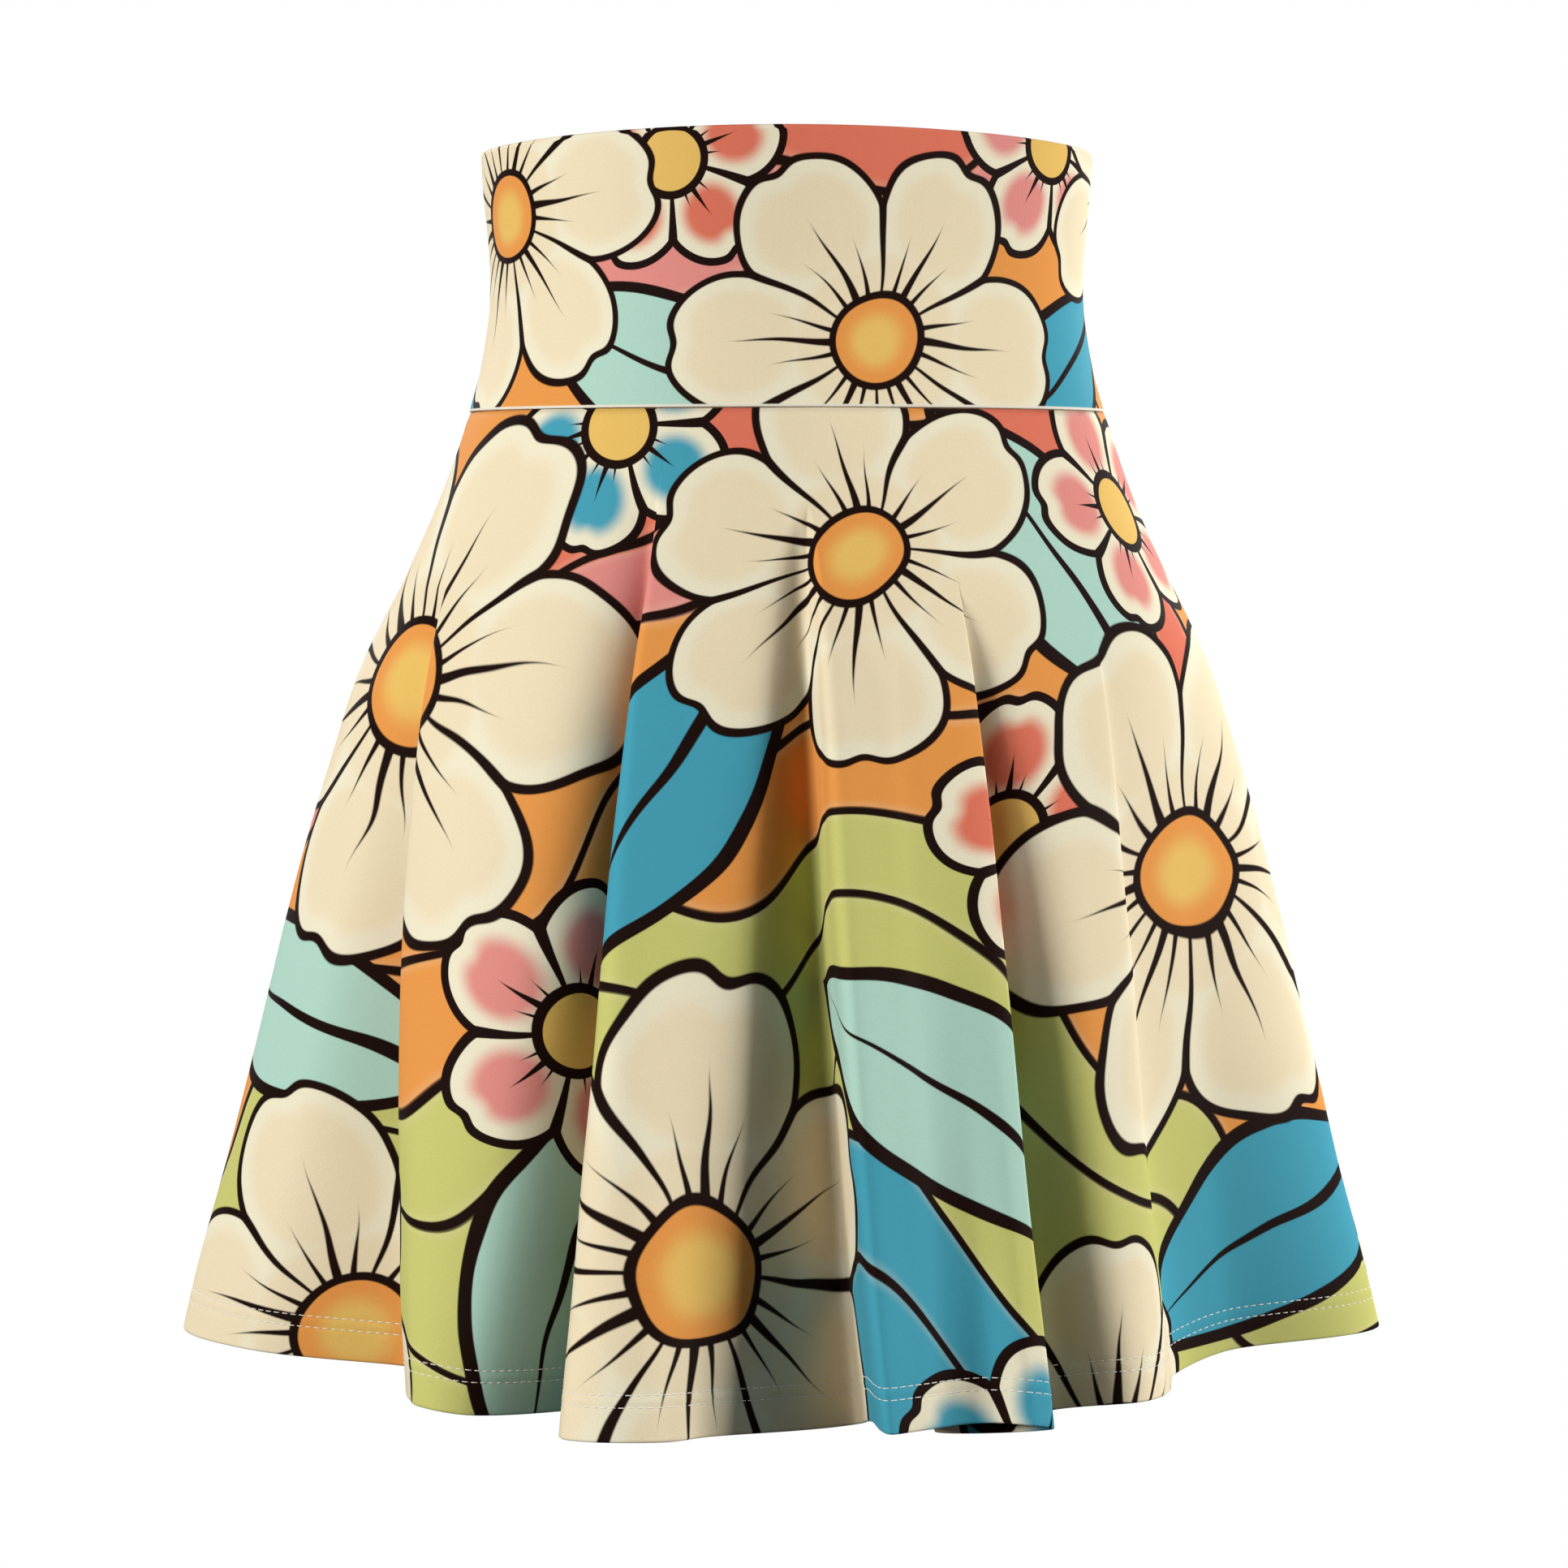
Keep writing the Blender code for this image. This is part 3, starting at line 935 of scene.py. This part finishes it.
def printed_knit():
    """Smooth knit with the print on it."""
    graph = Graph("printed_knit")
    flat = graph.vector("flat")
    wobble = hand_wobble(graph, flat)
    colour = add_ground(graph, wobble)
    colour = add_leaf(graph, colour, wobble)
    posy = graph.hue(graph.vector("posy"), POSY_HUES)
    colour = add_flower(graph, "posy", colour, wobble, posy, linear("amber"))
    colour = add_flower(graph, "blossom", colour, wobble, linear("cream"), linear("orange"))
    faded = graph.times(graph.number("inside"), INSIDE_FADE)
    colour = graph.mix(faded, colour, linear("cream"))
    colour = graph.mix(graph.number("cut_edge"), colour, linear("cut"))
    inputs = {"Vector": flat, "Scale": GRAIN_SCALE, "Detail": 1.0}
    grain = graph.times(graph.add("ShaderNodeTexNoise", inputs), GRAIN)
    colour = graph.mix(grain, colour, linear("line"))
    graph.tree.links.new(colour, graph.shader.inputs["Base Color"])
    graph.shader.inputs["Roughness"].default_value = 0.72
    graph.shader.inputs["Specular IOR Level"].default_value = 0.04
    graph.shader.inputs["Sheen Weight"].default_value = 0.03
    graph.shader.inputs["Sheen Roughness"].default_value = 0.4
    graph.tree.links.new(knit_normal(graph, flat), graph.shader.inputs["Normal"])
    return graph.material


def knit_normal(graph, flat):
    """The fine relief of a smooth jersey: columns of small V-shaped loops."""
    x, y, _ = graph.parts(flat)
    column = graph.times(x, math.tau / (WALE * MM))
    row = graph.times(y, math.tau / (COURSE * MM))
    lean = graph.times(graph.size(graph.math("SINE", graph.times(column, 0.5))), LOOP_LEAN)
    loops = graph.math("SINE", graph.plus(row, lean))
    height = graph.plus(graph.math("COSINE", column), graph.times(loops, LOOP_HEIGHT))
    inputs = {"Strength": KNIT_STRENGTH, "Distance": KNIT_RELIEF, "Height": height}
    return graph.add("ShaderNodeBump", inputs)


def thread():
    graph = Graph("thread")
    graph.shader.inputs["Base Color"].default_value = linear("thread")
    graph.shader.inputs["Roughness"].default_value = 0.55
    return graph.material


# ---- Waistband and sewing ----


def band_motifs(table):
    """Motifs given from the middle of the band, as places on the flat cloth."""
    return [(x, y + BAND_FLAT_Y, radius, turn, hue) for x, y, radius, turn, hue in table]


FRONT_BAND_MOTIFS = {
    "leaf": band_motifs(BAND_LEAVES),
    "posy": band_motifs(BAND_POSIES),
    "blossom": band_motifs(BAND_BLOSSOMS),
}
BAND_MOTIFS = {
    "waistband_front": FRONT_BAND_MOTIFS,
    "waistband_back": {title: mirrored(table) for title, table in FRONT_BAND_MOTIFS.items()},
}


def make_band(material):
    """The two halves of the waistband, each of one cloth folded at its top edge into two layers."""
    rings = band_rings()
    normals = normals_of(rings)
    halves = (("waistband_front", "front_band", 0), ("waistband_back", "back_band", BAND_COLUMNS))
    pieces = []
    for node, name, first in halves:
        columns = np.arange(first, first + BAND_COLUMNS + 1) % rings.shape[1]
        smooth = rings[::-1, columns]
        outward = normals[::-1, columns]
        along = along_rings(smooth)
        middle = along - along[:, -1:] / 2
        outer = ends_apart(smooth + seam_relief(along)[..., None] * outward)
        level = smooth[..., 2] + BAND_FLAT_Y
        upward = unit(np.gradient(smooth, axis=0))[-1]
        outer[-1] -= upward * BAND_WALL / 2
        ribbon = Ribbon()
        final = len(outer) - 1
        for row in range(len(outer)):
            flat = np.stack([middle[row], level[row]], axis=1)
            ribbon.add(outer[row], outward[row], flat, backed=row % BACK_EVERY == 0)
        add_fold(ribbon, upward, BAND_WALL / 2, np.array([0, BAND_WALL]))
        for row in range(final - BACK_EVERY, -1, -BACK_EVERY):
            beyond = 2 * level[-1] + BAND_WALL - level[row]
            flat = np.stack([middle[row], beyond], axis=1)
            ribbon.add(outer[row] - BAND_WALL * outward[row], -outward[row], flat)
        edge = np.zeros(len(ribbon.flat()))
        edge[: 2 * len(columns)] = 1.0  # the face's first two rows, by the waist seam
        piece = cloth_piece(name, ribbon, BAND_MOTIFS[node], material, edge=edge)
        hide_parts(node)
        pieces.append(piece)
    return pieces


def thread_piece(name, groups, material):
    """One piece of threads in groups: their points, outward directions, lifts and radius."""
    ring = np.arange(STITCH_SIDES)
    turned = np.roll(ring, -1)
    angles = ring[:, None] * math.tau / STITCH_SIDES
    wall = np.stack([ring, turned, turned + STITCH_SIDES, ring + STITCH_SIDES], axis=1)
    points, faces = [], []
    count = 0
    for paths, outward, lift, radius in groups:
        number, steps = paths.shape[:2]
        ahead = unit(np.gradient(paths, axis=1))
        side = unit(np.cross(outward, ahead))
        centre = paths + lift[..., None] * outward
        spread = np.cos(angles) * outward[..., None, :] + np.sin(angles) * side[..., None, :]
        points.append((centre[..., None, :] + radius * spread).reshape(-1, 3))
        walls = wall[None] + STITCH_SIDES * np.arange(steps - 1)[:, None, None]
        starts = count + steps * STITCH_SIDES * np.arange(number)[:, None]
        faces += (starts[:, None] + walls.reshape(1, -1, 4)).reshape(-1, 4).tolist()
        faces += (starts + ring[::-1]).tolist()
        faces += (starts + (steps - 1) * STITCH_SIDES + ring).tolist()
        count += number * steps * STITCH_SIDES
    piece = new_piece(name, np.concatenate(points), faces, material)
    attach(piece, "root")
    return piece


def along_line(line):
    """How far along a line of points each of them lies."""
    return np.concatenate([[0], np.cumsum(np.linalg.norm(np.diff(line, axis=0), axis=1))])


def stitch_row(path, outward):
    """Stitches along a line on the cloth, each coming up out of it and going back in."""
    at = along_line(path)
    number = int((at[-1] - STITCHES_FREE) / STITCH_PITCH)
    starts = (np.arange(number) + 0.5) * at[-1] / number
    reach = np.linspace(-0.5, 0.5, STITCH_POINTS)
    where = starts[:, None] + reach * STITCH_LENGTH
    lift = STITCH_RADIUS * (STITCH_RISE * np.cos(reach * math.pi) - STITCH_SINK)
    centre = read_along(where, at, path)
    return centre, unit(read_along(where, at, outward)), np.tile(lift, (number, 1)), STITCH_RADIUS


def zigzag(first, second, outward, pitch):
    """Threads that go to and fro between two lines on the cloth."""
    at = along_line(first)
    places = np.arange(len(at))
    turns = 2 * int(at[-1] / pitch)
    where = np.interp(np.linspace(0, at[-1], turns + 1), at, places)
    lines = [read_along(where, places, line) for line in (first, second, outward)]
    even = (np.arange(turns + 1) % 2 == 0)[:, None]
    corners = np.where(even, lines[0], lines[1])
    out = unit(lines[2])
    paths = np.stack([corners[:-1], (corners[:-1] + corners[1:]) / 2, corners[1:]], axis=1)
    outs = np.stack([out[:-1], out[:-1], out[1:]], axis=1)
    lift = np.tile([0.0, THREAD_RADIUS / 2, 0.0], (turns, 1))
    return paths, outs, lift, THREAD_RADIUS


def make_hem_stitches(panel, material):
    """Two rows of stitches outside, and the thread that joins them on the allowance inside."""
    groups, inner = [], []
    for height in STITCH_ROWS:
        points, outward, _ = panel.row(SKIRT_LENGTH - height)
        groups.append(stitch_row(points, outward))
        inner.append(points - (HEM_LAYERS + CLOTH) * outward)
    groups.append(zigzag(*inner, -outward, STITCH_PITCH))
    name = panel.piece.name.replace("_panel", "_hem_stitches")
    return thread_piece(name, groups, material)


def make_allowances(panel, material, thread_material):
    """The strips of cloth inside, below the waist seam and beside the side seams, overlocked."""
    title = panel.piece.name.replace("_panel", "")
    inner = ALLOWANCE - OVERLOCK_REACH
    waist = [panel.row(down) for down in np.linspace(ALLOWANCE, 0, ALLOWANCE_STEPS + 1)]
    # name, rows, the raw edge, the overlock's other line, and the strips that lie under it
    strips = [("waist", waist, waist[0], panel.row(inner), 0)]
    if panel.node == "skirt_front":
        reach = np.linspace(0, ALLOWANCE, ALLOWANCE_STEPS + 1)
        left = [panel.column(distance, False) for distance in reach]
        right = [panel.column(distance, True) for distance in reach[::-1]]
        strips.append(("left", left, left[-1], panel.column(inner, False), 1))
        strips.append(("right", right, right[0], panel.column(inner, True), 1))
    for side, rows, edge, within, layer in strips:
        ribbon = Ribbon()
        depth = (2 + layer) * LAYER_STEP  # the panel, the strips under it and the strip itself
        for points, outward, flat in rows:
            ribbon.add(points - depth * outward, -outward, flat)
        motifs = SKIRT_MOTIFS[panel.node]
        cloth_piece(f"{title}_{side}_allowance", ribbon, motifs, material, inside=1.0)
        lines = [line[0] - (depth + THREAD_RADIUS / 2) * line[1] for line in (edge, within)]
        overlock = zigzag(*lines, -edge[1], OVERLOCK_PITCH)
        thread_piece(f"{title}_{side}_overlock", [overlock], thread_material)


# ---- Stage ----


def make_camera():
    data = bpy.data.cameras.new("camera")
    data.sensor_width = SENSOR
    data.lens = SENSOR * CAMERA_DISTANCE / (PHOTO_WIDTH * PHOTO_SCALE)
    camera = put_in_scene("camera", data)
    pitch = math.radians(CAMERA_PITCH)
    camera.location = CAMERA_AIM + CAMERA_DISTANCE * Vector((0, -math.cos(pitch), math.sin(pitch)))
    camera.rotation_euler = (math.pi / 2 - pitch, 0, 0)
    bpy.context.scene.camera = camera


def make_light(name, azimuth, elevation, power):
    data = bpy.data.lights.new(name, "AREA")
    data.size = LIGHT_SIZE
    data.energy = power
    light = put_in_scene(name, data)
    turn, rise = math.radians(azimuth), math.radians(elevation)
    level = math.cos(rise)
    towards = Vector((level * math.sin(turn), -level * math.cos(turn), math.sin(rise)))
    light.location = CAMERA_AIM + LIGHT_DISTANCE * towards
    light.rotation_euler = (-towards).to_track_quat("-Z", "Y").to_euler()


def make_world():
    """White all round: plain white to the camera, softer as a light."""
    world = bpy.data.worlds.new("studio")
    bpy.context.scene.world = world
    world.use_nodes = True
    nodes, links = world.node_tree.nodes, world.node_tree.links
    background = nodes["Background"]
    background.inputs["Color"].default_value = (1, 1, 1, 1)
    seen = nodes.new("ShaderNodeLightPath")
    strength = nodes.new("ShaderNodeMapRange")
    strength.inputs["To Min"].default_value = WORLD_LIGHT
    strength.inputs["To Max"].default_value = 1.0
    links.new(seen.outputs["Is Camera Ray"], strength.inputs["Value"])
    links.new(strength.outputs[0], background.inputs["Strength"])


def make_floor():
    """A plain white floor that neither lights nor shades the skirt."""
    graph = Graph("floor")
    graph.shader.inputs["Base Color"].default_value = (0, 0, 0, 1)
    graph.shader.inputs["Roughness"].default_value = 1.0
    graph.shader.inputs["Specular IOR Level"].default_value = 0.0
    graph.shader.inputs["Emission Color"].default_value = (1, 1, 1, 1)
    graph.shader.inputs["Emission Strength"].default_value = 1.0
    level = cad_box[0][2] - FLOOR_DROP
    sides = ((-1, -1), (1, -1), (1, 1), (-1, 1))
    corners = [(x * FLOOR_REACH, y * FLOOR_REACH, level) for x, y in sides]
    mesh = bpy.data.meshes.new("floor")
    mesh.from_pydata(corners, [], [(0, 1, 2, 3)])
    mesh.materials.append(graph.material)
    floor = put_in_scene("floor", mesh)
    floor.visible_diffuse = floor.visible_glossy = floor.visible_shadow = False


def main():
    bpy.context.scene.view_settings.view_transform = "Standard"
    make_camera()
    make_world()
    for light in LIGHTS:
        make_light(*light)
    make_floor()
    knit = printed_knit()
    thread_material = thread()
    for panel in make_skirt(knit):
        stitches = make_hem_stitches(panel, thread_material)
        make_allowances(panel, knit, thread_material)
    for piece in make_band(knit):
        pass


main()
